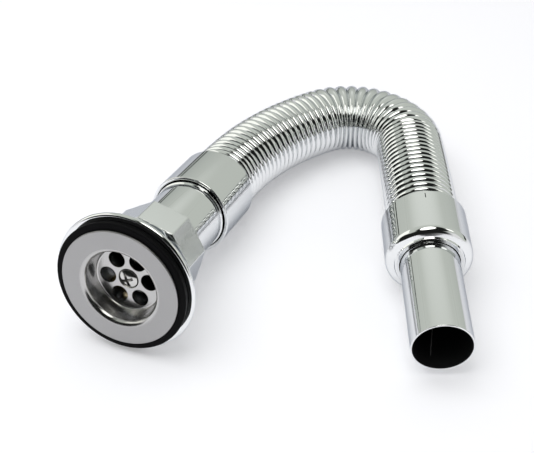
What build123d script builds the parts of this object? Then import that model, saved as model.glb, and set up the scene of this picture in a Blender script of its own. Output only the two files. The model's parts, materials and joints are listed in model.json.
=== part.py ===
from build123d import *
import math
import os

# Flexible basin trap in chrome, lying on a table, in millimetres.
# Depths run along the strainer's axis from its face towards the pipe.
# Runs go along the outlet's axis from the back of the outlet nut towards its open end.

# Strainer: a pressed steel plate with a perforated cup
strainer_inset = 3.95
strainer_sheet = 1.2
cup_mouth_diameter = 43.0
cup_draft = 3.5
cup_depth = 10.3
grid_hole_diameter = 9.2
grid_hole_count = 6
grid_hole_turn = 4.0

# Strainer screw and the threaded insert that takes it
screw_head_diameter = 10.4
screw_head_edge = 0.8
screw_head_crown = 1.2
screw_head_cone = 2.6
screw_shank_diameter = 6.0
screw_length = 34.0
recess_length = 5.6
recess_width = 1.3
recess_depth = 1.6
screw_clearance = 0.1
insert_wall = 1.5
insert_length = 12.0
screw_tip_projection = 2.0

# Rubber gasket between strainer and flange
gasket_inset = 2.2
gasket_clear = 2.5
gasket_thickness = 5.0

# Waste body: flange, dished back, octagon for the spanner, neck and threaded tail
flange_diameter = 76.8
flange_rim = 3.0
octagon_depth = 28.0
octagon_length = 19.0
octagon_across_flats = 48.0
octagon_turn = 8.0
octagon_sides = 8
octagon_wall = 4.0
flange_waist = 0.36
bowl_ledge = 4.0
bowl_lip = 2.8
throat_step = 3.0
tail_wall = 4.45
neck_step = 1.15
boss_wall = 2.5
spoke_width = 4.0
spoke_count = 3

# Union thread shared by the waste tail, the outlet fitting and both nuts
thread_pitch = 2.309
thread_length = 16.0
thread_clearance = 0.1

# Coupling nut that pulls the pipe's flared end on to the waste tail
coupling_front_depth = 82.0
coupling_length = 36.0
coupling_side_wall = 1.95
coupling_front_round = 0.8
coupling_back_chamfer = 0.5
coupling_back_wall = 3.0
nut_mouth_chamfer = 0.5

# Rings inside the nuts
washer_thickness = 2.5
slip_ring_thickness = 2.0
ring_gap = 0.55
slide_clearance = 0.3
turning_gap = 0.02

# Corrugated pipe, one piece with a flared end and two plain cuffs
pipe_bore = 36.0
cuff_wall = 0.8
valley_wall = 0.6
corrugation_depth = 1.6
flare_lip = 1.5
flare_thickness = 2.0
coupling_neck = 2.2
outlet_neck = 0.6
gentle_radius = 142.0
gentle_turn = 39.0
bend_radius = 35.9
bend_lift = 0.8
settle_run = 20.0
straight_run = 78.0
straight_pitch = 4.4
bend_pitch = 5.8
bore_step_turn = 14.0
bore_step_run = 40.0

# Outlet: threaded fitting, plain tube and its nut
fitting_start = 1.0
fitting_length = 18.5
fitting_wall = 2.05
braze_gap = 0.1
tube_diameter = 32.0
tube_wall = 1.0
tube_visible = 59.8
tube_flange_thickness = 2.0
outlet_nut_side_wall = 2.45
outlet_nut_barrel = 29.5
outlet_nut_shoulder = 4.2
shoulder_lip = 1.3
outlet_front_round = 2.6
outlet_tilt = 2.8

# Turn of the outlet's axis from the strainer's, seen from above
outlet_turn = 158.4

# How closely an edge must match to be picked
match = 0.01


def turned(*corners):
    """Solid turned about the local Z axis from (radius, height) corners."""
    return revolve(Plane.XZ * make_face(Polyline(*corners, close=True)), Axis.Z)


def ring(outer, inner, start, thickness):
    """Flat ring between two diameters, rising from start."""
    return turned(
        (inner / 2, start),
        (outer / 2, start),
        (outer / 2, start + thickness),
        (inner / 2, start + thickness),
    )


def circles_at(part, height, diameter):
    """Circular edges of a part that lie at one height with one diameter."""
    edges = part.edges().filter_by(GeomType.CIRCLE)
    level = edges.filter_by(lambda edge: math.isclose(edge.center().Z, height, abs_tol=match))
    return level.filter_by(lambda edge: math.isclose(edge.radius, diameter / 2, abs_tol=match))


# Diameters that follow from the pipe's bore, the tube, the flange and the cup
cuff_diameter = pipe_bore + 2 * cuff_wall
valley_diameter = pipe_bore + 2 * valley_wall
crest_diameter = valley_diameter + 2 * corrugation_depth
flare_diameter = cuff_diameter + 2 * flare_lip
thread_diameter = cuff_diameter + 2 * (braze_gap + fitting_wall)
nut_bore = thread_diameter + 2 * thread_clearance
ring_diameter = nut_bore - 2 * ring_gap
coupling_diameter = nut_bore + 2 * coupling_side_wall
outlet_nut_diameter = nut_bore + 2 * outlet_nut_side_wall
shoulder_inner_diameter = tube_diameter + 2 * shoulder_lip
neck_diameter = thread_diameter - 2 * neck_step
body_bore = thread_diameter - 2 * tail_wall
throat_bore = octagon_across_flats - 2 * octagon_wall
gasket_diameter = flange_diameter - 2 * gasket_inset
strainer_diameter = gasket_diameter - 2 * strainer_inset
gasket_bore = cup_mouth_diameter + 2 * gasket_clear
bowl_mouth = gasket_bore + 2 * bowl_ledge
cup_floor_diameter = cup_mouth_diameter - 2 * cup_draft
grid_hole_circle = (cup_floor_diameter + screw_head_diameter) / 2
insert_diameter = screw_shank_diameter + 2 * insert_wall
boss_diameter = insert_diameter + 2 * boss_wall
bend_height = crest_diameter / 2 + bend_lift

# Depths that the pieces share
gasket_depth = strainer_sheet
flange_depth = gasket_depth + gasket_thickness
octagon_end = octagon_depth + octagon_length
throat_end = octagon_end - throat_step
coupling_back_depth = coupling_front_depth + coupling_length
coupling_wall_depth = coupling_back_depth - coupling_back_wall
slip_depth = coupling_wall_depth - slip_ring_thickness
flare_depth = slip_depth - flare_thickness
washer_depth = flare_depth - washer_thickness
thread_start = washer_depth - thread_length
pipe_start = coupling_back_depth + coupling_neck
head_seat = cup_depth - screw_head_edge
screw_tip = head_seat + screw_length
insert_end = screw_tip - screw_tip_projection

# Runs that the outlet's pieces share
fitting_end = fitting_start + fitting_length
outlet_flange_run = fitting_end + washer_thickness
outlet_slip_run = outlet_flange_run + tube_flange_thickness
shoulder_seat = outlet_slip_run + slip_ring_thickness
outlet_nut_end = outlet_nut_barrel + outlet_nut_shoulder
tube_end = outlet_nut_end + tube_visible

# The strainer end rests on the flange's rim and on the back edge of the coupling nut
rim_round = flange_rim / 2
rim_depth = flange_depth + rim_round
rim_reach = flange_diameter / 2 - rim_round
rest_span = coupling_back_depth - coupling_back_chamfer - rim_depth
rest_drop = rim_reach - coupling_diameter / 2
tilt = math.atan2(rest_drop, rest_span) + math.asin(rim_round / math.hypot(rest_drop, rest_span))
face_height = rim_reach * math.cos(tilt) + rim_depth * math.sin(tilt) + rim_round
strainer_axis = Vector(0, -math.cos(tilt), math.sin(tilt))
face_centre = Vector(0, 0, face_height)
inlet = Plane(origin=face_centre, x_dir=(1, 0, 0), z_dir=strainer_axis)
pipe_origin = face_centre - strainer_axis * pipe_start

# Plan of the pipe: a gentle arc, a tight bend and a straight run to the outlet
bend_turn = math.radians(outlet_turn - gentle_turn)
gentle_length = gentle_radius * math.radians(gentle_turn)
bend_length = bend_radius * bend_turn
pipe_length = gentle_length + bend_length + straight_run
bend_middle = gentle_length + bend_length / 2
settled_height = pipe_origin.Z - math.tan(tilt) * settle_run / 2

# The outlet end rests on the rounded front edge of its nut
outlet_slope = math.radians(outlet_tilt)
shoulder_slope = math.atan2((outlet_nut_diameter - shoulder_inner_diameter) / 2, outlet_nut_shoulder)
round_start = outlet_nut_barrel - outlet_front_round * math.tan(shoulder_slope / 2)
outlet_reach = outlet_nut_diameter / 2 - outlet_front_round
outlet_drop = (outlet_neck + round_start) * math.sin(outlet_slope)
outlet_height = outlet_reach * math.cos(outlet_slope) + outlet_drop + outlet_front_round


def arc_plan(start, start_heading, radius, run):
    """Plan position and heading after a run along an arc that turns to the right."""
    end_heading = start_heading + run / radius
    x = start[0] + radius * (math.cos(start_heading) - math.cos(end_heading))
    y = start[1] + radius * (math.sin(end_heading) - math.sin(start_heading))
    return (x, y), end_heading


def plan(run):
    """Plan position and heading of the pipe's centre after a run from the coupling nut."""
    place, turn = arc_plan((pipe_origin.X, pipe_origin.Y), 0, gentle_radius, min(run, gentle_length))
    if run > gentle_length:
        bent = min(run - gentle_length, bend_length)
        place, turn = arc_plan(place, turn, bend_radius, bent)
    if run > gentle_length + bend_length:
        ahead = run - gentle_length - bend_length
        place = (place[0] + ahead * math.sin(turn), place[1] + ahead * math.cos(turn))
    return place, turn


def eased(share, span, start, start_slope, end, end_slope):
    """Height and slope at a share of a span that eases between two heights and slopes."""
    height = (
        (2 * share**3 - 3 * share**2 + 1) * start
        + (share**3 - 2 * share**2 + share) * span * start_slope
        + (3 * share**2 - 2 * share**3) * end
        + (share**3 - share**2) * span * end_slope
    )
    slope = (
        6 * (share**2 - share) * (start - end) / span
        + (3 * share**2 - 4 * share + 1) * start_slope
        + (3 * share**2 - 2 * share) * end_slope
    )
    return height, slope


def rise(run):
    """Height and slope of the pipe's centre after a run from the coupling nut."""
    if run < settle_run:
        share = run / settle_run
        return eased(share, settle_run, pipe_origin.Z, -math.tan(tilt), settled_height, 0)
    if run < bend_middle:
        level = bend_middle - settle_run
        return eased((run - settle_run) / level, level, settled_height, 0, bend_height, 0)
    rest = pipe_length - bend_middle
    share = (run - bend_middle) / rest
    return eased(share, rest, bend_height, 0, outlet_height, -math.tan(outlet_slope))


def station(run):
    """Plane square to the pipe's centreline after a run from the coupling nut."""
    place, turn = plan(run)
    height, slope = rise(run)
    along = Vector(math.sin(turn), math.cos(turn), slope)
    return Plane(origin=(place[0], place[1], height), x_dir=(0, 0, 1), z_dir=along)


def ring_count(length, pitch):
    """Whole corrugations of about one pitch in a length."""
    return max(1, round(length / pitch))


def corrugation_runs():
    """Runs at which the corrugations start, tight on the straights and opened round the bend."""
    runs = [0.0]
    stretches = (
        (gentle_length, straight_pitch),
        (bend_length, bend_pitch),
        (straight_run, straight_pitch),
    )
    for length, pitch in stretches:
        first = runs[-1]
        count = ring_count(length, pitch)
        runs += [first + length * (i + 1) / count for i in range(count)]
    return runs


def bore_runs():
    """Runs at which the smooth bore is given a section."""
    runs = [0.0]
    turns = (
        (gentle_length, math.degrees(gentle_length / gentle_radius) / bore_step_turn),
        (bend_length, math.degrees(bend_turn) / bore_step_turn),
        (straight_run, straight_run / bore_step_run),
    )
    for length, steps in turns:
        first = runs[-1]
        count = max(1, math.ceil(steps))
        runs += [first + length * (i + 1) / count for i in range(count)]
    return runs


outlet_start = station(pipe_length)
outlet_axis = outlet_start.z_dir
outlet = Plane(
    origin=outlet_start.origin + outlet_axis * outlet_neck,
    x_dir=outlet_start.x_dir,
    z_dir=outlet_axis,
)


def make_strainer():
    """Flat rim and sloping cup of one sheet, with a ring of holes and a seat for the screw."""
    rim = strainer_diameter / 2
    mouth = cup_mouth_diameter / 2
    floor = cup_floor_diameter / 2
    sheet = strainer_sheet
    seat = screw_head_diameter / 2
    hole = screw_shank_diameter / 2 + screw_clearance
    cone_end = cup_depth + screw_head_cone
    plate = turned(
        (rim, 0),
        (rim, -sheet),
        (mouth + sheet, -sheet),
        (floor + sheet, -cup_depth - sheet),
        (seat + sheet, -cup_depth - sheet),
        (hole + sheet, -cone_end - sheet),
        (hole, -cone_end - sheet),
        (hole, -cone_end),
        (seat, -cup_depth),
        (floor, -cup_depth),
        (mouth, 0),
    )
    plate = fillet(circles_at(plate, 0, cup_mouth_diameter), strainer_sheet)
    hole_tool = Cylinder(grid_hole_diameter / 2, 2 * cup_depth)
    places = PolarLocations(grid_hole_circle / 2, grid_hole_count, start_angle=grid_hole_turn)
    return plate - [place * Pos(0, 0, -cup_depth) * hole_tool for place in places]


def make_screw():
    """Raised countersunk screw with a cross recess."""
    head = screw_head_diameter / 2
    shank = screw_shank_diameter / 2
    edge = -head_seat
    under = edge - screw_head_edge + screw_clearance
    crown = edge + screw_head_crown
    profile = make_face(
        [
            Line((0, -screw_tip), (shank, -screw_tip)),
            Line((shank, -screw_tip), (shank, under - screw_head_cone)),
            Line((shank, under - screw_head_cone), (head, under)),
            Line((head, under), (head, edge)),
            ThreePointArc((head, edge), (head / 2, edge + screw_head_crown * 3 / 4), (0, crown)),
            Line((0, crown), (0, -screw_tip)),
        ]
    )
    screw = revolve(Plane.XZ * profile, Axis.Z)
    slot = Box(recess_length, recess_width, 2 * recess_depth)
    top = Pos(0, 0, crown)
    return screw - top * slot - top * Rot(0, 0, 90) * slot


def make_insert():
    """Threaded insert in the boss of the waste body."""
    bore = screw_shank_diameter + 2 * screw_clearance
    return ring(insert_diameter, bore, -insert_end, insert_length)


def make_gasket():
    """Flat rubber ring between the strainer's rim and the flange."""
    return ring(gasket_diameter, gasket_bore, -flange_depth, gasket_thickness)


def make_waste_body():
    """Flanged bowl, octagon and threaded tail in one casting, with a spoked boss inside."""
    rim = flange_diameter / 2
    thread = thread_diameter / 2
    neck = neck_diameter / 2
    seat = -flange_depth
    back = seat - flange_rim
    octagon_radius = octagon_across_flats / 2
    waist = octagon_radius + (rim - octagon_radius) * flange_waist
    outline = make_face(
        [
            Line((0, seat), (rim_reach, seat)),
            ThreePointArc((rim_reach, seat), (rim, -rim_depth), (rim_reach, back)),
            ThreePointArc(
                (rim_reach, back), (waist, (back - octagon_depth) / 2), (octagon_radius, -octagon_depth)
            ),
            Line((octagon_radius, -octagon_depth), (octagon_radius, -octagon_end)),
            Line((octagon_radius, -octagon_end), (neck, -octagon_end)),
            Line((neck, -octagon_end), (neck, -thread_start)),
            Line((neck, -thread_start), (thread, -thread_start - thread_pitch)),
            Line((thread, -thread_start - thread_pitch), (thread, -washer_depth)),
            Line((thread, -washer_depth), (0, -washer_depth)),
            Line((0, -washer_depth), (0, seat)),
        ]
    )
    body = revolve(Plane.XZ * outline, Axis.Z)
    octagon = RegularPolygon(octagon_radius, octagon_sides, major_radius=False, rotation=octagon_turn)
    body += Pos(0, 0, -octagon_end) * extrude(octagon, octagon_length)
    throat = throat_bore / 2
    bore = body_bore / 2
    body -= turned(
        (0, seat),
        (bowl_mouth / 2, seat),
        (bowl_mouth / 2, seat - bowl_lip),
        (throat, -octagon_depth),
        (throat, -throat_end),
        (bore, -throat_end - (throat - bore)),
        (bore, -washer_depth),
        (0, -washer_depth),
    )
    boss = Pos(0, 0, -insert_end) * Cylinder(
        boss_diameter / 2, insert_length, align=(Align.CENTER, Align.CENTER, Align.MIN)
    )
    spoke_reach = (throat + octagon_radius) / 2
    spoke = Pos(0, 0, -insert_end) * Box(
        spoke_reach, spoke_width, insert_length, align=(Align.MIN, Align.CENTER, Align.MIN)
    )
    spider = boss + [Rot(0, 0, 360 * i / spoke_count) * spoke for i in range(spoke_count)]
    body += spider
    through = Cylinder(insert_diameter / 2, 4 * insert_length)
    return body - Pos(0, 0, -insert_end) * through


def make_coupling_nut():
    """Round union nut with a threaded bore and a back wall that holds the pipe's flare."""
    outer = coupling_diameter / 2
    bore = nut_bore / 2
    throat = cuff_diameter / 2 + slide_clearance
    nut = turned(
        (bore, -coupling_front_depth),
        (outer, -coupling_front_depth),
        (outer, -coupling_back_depth),
        (throat, -coupling_back_depth),
        (throat, -coupling_wall_depth),
        (bore, -coupling_wall_depth),
    )
    nut = fillet(circles_at(nut, -coupling_front_depth, coupling_diameter), coupling_front_round)
    back_edge = circles_at(nut, -coupling_back_depth, coupling_diameter)
    nut = chamfer(back_edge, coupling_back_chamfer)
    return chamfer(circles_at(nut, -coupling_front_depth, nut_bore), nut_mouth_chamfer)


def make_pipe():
    """Corrugated pipe with a flared cuff at the coupling and a plain cuff at the outlet."""
    runs = corrugation_runs()
    sections = [station(runs[0]) * Circle(valley_diameter / 2)]
    for start, end in zip(runs[:-1], runs[1:]):
        sections.append(station((start + end) / 2) * Circle(crest_diameter / 2))
        sections.append(station(end) * Circle(valley_diameter / 2))
    bellows = loft(sections, ruled=True)
    bore = loft([station(run) * Circle(pipe_bore / 2) for run in bore_runs()], ruled=True)
    bellows -= bore
    cuff = ring(cuff_diameter, pipe_bore, -pipe_start, pipe_start - flare_depth)
    flare = ring(flare_diameter, pipe_bore, -flare_depth - flare_thickness, flare_thickness)
    outlet_cuff = ring(cuff_diameter, pipe_bore, -outlet_neck, outlet_neck + fitting_end)
    return bellows + inlet * (cuff + flare) + outlet * outlet_cuff


def make_fitting():
    """Threaded ring brazed on the pipe's plain cuff."""
    return ring(thread_diameter, cuff_diameter + 2 * braze_gap, fitting_start, fitting_length)


def make_outlet_tube():
    """Plain outlet tube with a flange held by the outlet nut."""
    outer = tube_diameter / 2
    inner = outer - tube_wall
    flange_end = outlet_flange_run + tube_flange_thickness
    return turned(
        (inner, outlet_flange_run),
        (ring_diameter / 2, outlet_flange_run),
        (ring_diameter / 2, flange_end),
        (outer, flange_end),
        (outer, tube_end),
        (inner, tube_end),
    )


def make_outlet_nut():
    """Round union nut with a sloping shoulder that closes on the outlet tube."""
    outer = outlet_nut_diameter / 2
    bore = nut_bore / 2
    throat = tube_diameter / 2 + slide_clearance
    nut = turned(
        (bore, 0),
        (outer, 0),
        (outer, outlet_nut_barrel),
        (shoulder_inner_diameter / 2, outlet_nut_end),
        (throat, outlet_nut_end),
        (throat, shoulder_seat),
        (bore, shoulder_seat),
    )
    nut = fillet(circles_at(nut, outlet_nut_barrel, outlet_nut_diameter), outlet_front_round)
    nut = chamfer(circles_at(nut, 0, outlet_nut_diameter), coupling_back_chamfer)
    return chamfer(circles_at(nut, 0, nut_bore), nut_mouth_chamfer)


tube_clear = tube_diameter + 2 * slide_clearance
cuff_clear = cuff_diameter + 2 * slide_clearance
slip = slip_ring_thickness - turning_gap
nodes = {
    "strainer": inlet * make_strainer(),
    "strainer_screw": inlet * make_screw(),
    "thread_insert": inlet * make_insert(),
    "basin_gasket": inlet * make_gasket(),
    "waste_body": inlet * make_waste_body(),
    "coupling_nut": inlet * make_coupling_nut(),
    "coupling_washer": inlet * ring(ring_diameter, body_bore, -flare_depth, washer_thickness),
    "coupling_slip_ring": inlet * ring(ring_diameter, cuff_clear, turning_gap - coupling_wall_depth, slip),
    "flexible_pipe": make_pipe(),
    "outlet_fitting": outlet * make_fitting(),
    "outlet_washer": outlet * ring(ring_diameter, tube_diameter, fitting_end, washer_thickness),
    "outlet_tube": outlet * make_outlet_tube(),
    "outlet_slip_ring": outlet * ring(ring_diameter, tube_clear, outlet_slip_run, slip),
    "outlet_nut": outlet * make_outlet_nut(),
}

# The origin is the middle of the part's footprint, on the table
box = Compound(children=[Part() + part for part in nodes.values()]).bounding_box()
to_origin = Pos(-box.center().X, -box.center().Y, -box.min.Z)

os.makedirs("parts", exist_ok=True)
for name, part in nodes.items():
    export_step(to_origin * part, f"parts/{name}.step")
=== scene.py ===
"""Looks of the flexible basin trap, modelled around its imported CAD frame."""

import json
import logging
import math
from collections.abc import Sequence
from dataclasses import asdict, dataclass
from enum import Enum

import bpy
from mathutils import Matrix, Vector


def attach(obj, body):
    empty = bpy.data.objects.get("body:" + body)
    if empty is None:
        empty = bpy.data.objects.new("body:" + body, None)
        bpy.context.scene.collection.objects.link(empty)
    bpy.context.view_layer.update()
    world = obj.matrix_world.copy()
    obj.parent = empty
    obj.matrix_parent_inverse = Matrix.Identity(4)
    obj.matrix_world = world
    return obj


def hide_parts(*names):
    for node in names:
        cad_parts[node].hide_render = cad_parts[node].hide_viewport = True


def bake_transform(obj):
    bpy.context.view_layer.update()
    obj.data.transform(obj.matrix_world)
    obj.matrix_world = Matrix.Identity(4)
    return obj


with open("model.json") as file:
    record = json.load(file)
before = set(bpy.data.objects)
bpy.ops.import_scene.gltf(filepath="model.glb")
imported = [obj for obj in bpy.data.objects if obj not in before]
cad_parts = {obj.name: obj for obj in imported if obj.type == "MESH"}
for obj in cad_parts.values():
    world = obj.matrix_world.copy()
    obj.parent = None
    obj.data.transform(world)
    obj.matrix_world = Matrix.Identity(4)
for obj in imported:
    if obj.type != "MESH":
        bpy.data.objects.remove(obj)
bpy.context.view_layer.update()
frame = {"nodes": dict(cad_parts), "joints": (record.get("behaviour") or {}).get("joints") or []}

LOG = logging.getLogger("basin_trap")
MM = 0.001
UP = Vector((0, 0, 1))
Colour = tuple[float, float, float, float]


class Body(Enum):
    """CAD bodies that the pieces move with."""

    WASTE = "waste"
    SCREW = "screw"
    COUPLING = "coupling"
    OUTLET = "outlet"
    OUTLET_NUT = "outlet_union"


class Slot(Enum):
    """Material slots of the part."""

    SATIN_STEEL = "satin_steel"
    BRIGHT_STEEL = "bright_steel"
    CHROME = "polished_chrome"
    RUBBER = "black_rubber"
    BRASS = "brass"


class Facing(Enum):
    """Where a board of the studio faces."""

    PART = "part"
    DOWN = "down"


class Zone(Enum):
    """Directions that count in a zone's distance: off the Z axis, or along it."""

    RADIAL = (1.0, 1.0, 0.0)
    AXIAL = (0.0, 0.0, 1.0)


def joint(name: str) -> dict:
    """Returns the record's joint of that name."""
    return next(j for j in frame["joints"] if j["name"] == name)


def axis_frame(origin: Vector, axis: Vector) -> Matrix:
    """Makes a frame with Z along an axis and X level.

    Args:
        origin: Place of the frame in metres.
        axis: Direction of its Z axis.

    Returns:
        The matrix from the frame to the row frame, both in metres.
    """
    along = axis.normalized()
    level = UP.cross(along).normalized()
    turn = Matrix((level, along.cross(level), along)).transposed().to_4x4()
    return Matrix.Translation(origin) @ turn


@dataclass(frozen=True)
class Corner:
    """Corner of a turned profile in millimetres, with the radius that rounds it."""

    radius: float
    height: float
    round: float = 0.0

    @property
    def point(self) -> Vector:
        """Place of the corner in the profile's plane."""
        return Vector((self.radius, self.height))


def rounded(corners: Sequence[Corner], steps: int = 6) -> list[Vector]:
    """Replaces the rounded corners of a closed profile by arcs.

    Args:
        corners: The profile's corners in order.
        steps: Facets in each arc.

    Returns:
        The profile's points.
    """
    points: list[Vector] = []
    for i, corner in enumerate(corners):
        at = corner.point
        back = (corners[i - 1].point - at).normalized()
        ahead = (corners[(i + 1) % len(corners)].point - at).normalized()
        half = back.angle(ahead) / 2
        if corner.round == 0:
            points.append(at)
            continue
        centre = at + (back + ahead).normalized() * corner.round / math.sin(half)
        first = at + back * corner.round / math.tan(half) - centre
        sweep = first.angle_signed(at + ahead * corner.round / math.tan(half) - centre)
        for k in range(steps + 1):
            points.append(centre + Matrix.Rotation(-sweep * k / steps, 2) @ first)
    return points


class Bench:
    """Modelling steps that the sub-assemblies share, on objects in millimetres."""

    MERGE = 0.001

    @staticmethod
    def activate(obj: bpy.types.Object) -> None:
        """Selects one object alone and makes it active.

        Args:
            obj: The object.
        """
        bpy.ops.object.select_all(action="DESELECT")
        obj.select_set(True)
        bpy.context.view_layer.objects.active = obj

    @staticmethod
    def apply(obj: bpy.types.Object) -> None:
        """Applies all the modifiers of an object in order.

        Args:
            obj: The object.
        """
        Bench.activate(obj)
        for modifier in list(obj.modifiers):
            bpy.ops.object.modifier_apply(modifier=modifier.name)

    @staticmethod
    def cylinder(
        sides: int,
        radius: float,
        length: float,
        at: Sequence[float],
        turn: Sequence[float] = (0, 0, 0),
    ) -> bpy.types.Object:
        """Adds a cylinder, with its place in its mesh.

        Args:
            sides: Sides of the cylinder.
            radius: Radius to its corners.
            length: Length along its own Z.
            at: Its middle.
            turn: Its turns on X, Y and Z in radians.

        Returns:
            The cylinder, selected alone.
        """
        bpy.ops.object.select_all(action="DESELECT")
        bpy.ops.mesh.primitive_cylinder_add(
            vertices=sides, radius=radius, depth=length, location=at, rotation=turn
        )
        bpy.ops.object.transform_apply()
        return bpy.context.object

    @staticmethod
    def block(size: Sequence[float], at: Sequence[float], turn: float) -> bpy.types.Object:
        """Adds a block turned on Z, with its place in its mesh.

        Args:
            size: Its three sizes.
            at: Its middle.
            turn: Its turn on Z in radians.

        Returns:
            The block, selected alone.
        """
        bpy.ops.object.select_all(action="DESELECT")
        bpy.ops.mesh.primitive_cube_add(size=1, location=at, rotation=(0, 0, turn))
        block = bpy.context.object
        block.scale = size
        bpy.ops.object.transform_apply()
        return block

    @staticmethod
    def extrude_rings(name: str, points: Sequence[Vector], segments: int) -> bpy.types.Object:
        """Turns an open profile on Z by extruding a circle from point to point.

        Args:
            name: Name of the new object.
            points: Radius and height of each ring.
            segments: Sides of the rings.

        Returns:
            The open shell.
        """
        bpy.ops.object.select_all(action="DESELECT")
        radius, height = points[0]
        bpy.ops.mesh.primitive_circle_add(vertices=segments, radius=radius)
        obj = bpy.context.object
        obj.name = name
        bpy.ops.object.mode_set(mode="EDIT")
        bpy.ops.mesh.select_all(action="SELECT")
        bpy.ops.transform.translate(value=(0, 0, height))
        for radius_next, height_next in points[1:]:
            rise = {"value": (0, 0, height_next - height)}
            bpy.ops.mesh.extrude_region_move(TRANSFORM_OT_translate=rise)
            grow = radius_next / radius
            bpy.ops.transform.resize(value=(grow, grow, 1), center_override=(0, 0, 0))
            radius, height = radius_next, height_next
        bpy.ops.object.mode_set(mode="OBJECT")
        return obj

    @staticmethod
    def close(obj: bpy.types.Object) -> None:
        """Merges the seam of a turned piece and turns its faces outwards.

        Args:
            obj: The piece.
        """
        Bench.activate(obj)
        bpy.ops.object.mode_set(mode="EDIT")
        bpy.ops.mesh.select_all(action="SELECT")
        bpy.ops.mesh.remove_doubles(threshold=Bench.MERGE)
        bpy.ops.mesh.normals_make_consistent(inside=False)
        bpy.ops.object.mode_set(mode="OBJECT")

    @staticmethod
    def turn(name: str, corners: Sequence[Corner], segments: int = 128) -> bpy.types.Object:
        """Turns a closed profile on Z.

        Args:
            name: Name of the new object.
            corners: The profile's corners.
            segments: Sides of the rings.

        Returns:
            The closed ring.
        """
        points = rounded(corners)
        obj = Bench.extrude_rings(name, [*points, points[0]], segments)
        Bench.close(obj)
        return obj

    @staticmethod
    def cut(obj: bpy.types.Object, tools: Sequence[bpy.types.Object]) -> None:
        """Cuts tools out of an object and removes them.

        Args:
            obj: The object.
            tools: The shapes to cut out of it.
        """
        for tool in tools:
            Bench.activate(obj)
            bpy.ops.object.modifier_add(type="BOOLEAN")
            modifier = obj.modifiers[-1]
            modifier.operation = "DIFFERENCE"
            modifier.solver = "EXACT"
            modifier.object = tool
            bpy.ops.object.modifier_apply(modifier=modifier.name)
            bpy.data.objects.remove(tool)

    @staticmethod
    def bevel(obj: bpy.types.Object, width: float, segments: int, angle: float) -> None:
        """Rounds the sharp edges of an object.

        Args:
            obj: The object.
            width: Width of the rounding.
            segments: Facets across it.
            angle: Angle in degrees past which an edge is rounded.
        """
        Bench.activate(obj)
        bpy.ops.object.modifier_add(type="BEVEL")
        modifier = obj.modifiers[-1]
        modifier.width = width
        modifier.segments = segments
        modifier.limit_method = "ANGLE"
        modifier.angle_limit = math.radians(angle)
        modifier.harden_normals = False
        Bench.apply(obj)

    @staticmethod
    def join(name: str, objects: Sequence[bpy.types.Object]) -> bpy.types.Object:
        """Joins objects into the first one.

        Args:
            name: Name of the joined object.
            objects: The objects.

        Returns:
            The joined object.
        """
        Bench.activate(objects[0])
        for obj in objects[1:]:
            obj.select_set(True)
        bpy.ops.object.join()
        objects[0].name = name
        return objects[0]

    @staticmethod
    def soften(obj: bpy.types.Object, angle: float = 35.0) -> None:
        """Shades an object smooth, with flat faces kept flat.

        Args:
            obj: The object.
            angle: Angle in degrees past which an edge stays sharp.
        """
        Bench.activate(obj)
        bpy.ops.object.shade_smooth_by_angle(angle=math.radians(angle))
        bpy.ops.object.modifier_add(type="WEIGHTED_NORMAL")
        obj.modifiers[-1].keep_sharp = True
        Bench.apply(obj)

    @staticmethod
    def place(obj: bpy.types.Object, frame_to_row: Matrix) -> None:
        """Moves an object's mesh from millimetres in a frame to metres in the row frame."""
        obj.data.transform(frame_to_row @ Matrix.Scale(MM, 4))
        obj.data.update()


class NodeTree:
    """Small writer for a node tree."""

    def __init__(self, tree: bpy.types.NodeTree) -> None:
        """Takes the tree to write in."""
        self.tree = tree

    def add(self, kind: str, **settings: object) -> bpy.types.Node:
        """Adds a node.

        Args:
            kind: Type of the node.
            **settings: The node's properties.

        Returns:
            The node.
        """
        node = self.tree.nodes.new(kind)
        for key, value in settings.items():
            setattr(node, key, value)
        return node

    def link(self, source: bpy.types.NodeSocket, target: bpy.types.NodeSocket) -> None:
        """Links two sockets."""
        self.tree.links.new(source, target)


class SharedGroup:
    """Node group that is built once and placed in each material that needs it."""

    NAME = ""
    VECTORS: tuple[str, ...] = ()
    NUMBERS: tuple[str, ...] = ()
    RESULT = ""

    @classmethod
    def tree(cls) -> bpy.types.NodeTree:
        """Makes the group at its first use.

        Returns:
            The group.
        """
        made = bpy.data.node_groups.get(cls.NAME)
        if made:
            return made
        made = bpy.data.node_groups.new(cls.NAME, "ShaderNodeTree")
        sockets = [(name, "INPUT", "NodeSocketVector") for name in cls.VECTORS]
        sockets += [(name, "INPUT", "NodeSocketFloat") for name in cls.NUMBERS]
        sockets.append((cls.RESULT, "OUTPUT", "NodeSocketFloat"))
        for name, way, kind in sockets:
            made.interface.new_socket(name, in_out=way, socket_type=kind)
        nodes = NodeTree(made)
        given = nodes.add("NodeGroupInput")
        result = nodes.add("NodeGroupOutput")
        nodes.link(cls.fill(nodes, given), result.inputs[cls.RESULT])
        return made

    @classmethod
    def fill(cls, nodes: NodeTree, given: bpy.types.Node) -> bpy.types.NodeSocket:
        """Adds the group's own nodes.

        Args:
            nodes: Writer of the group's tree.
            given: The node with the group's inputs.

        Returns:
            The socket with the group's result.
        """
        raise NotImplementedError


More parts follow.
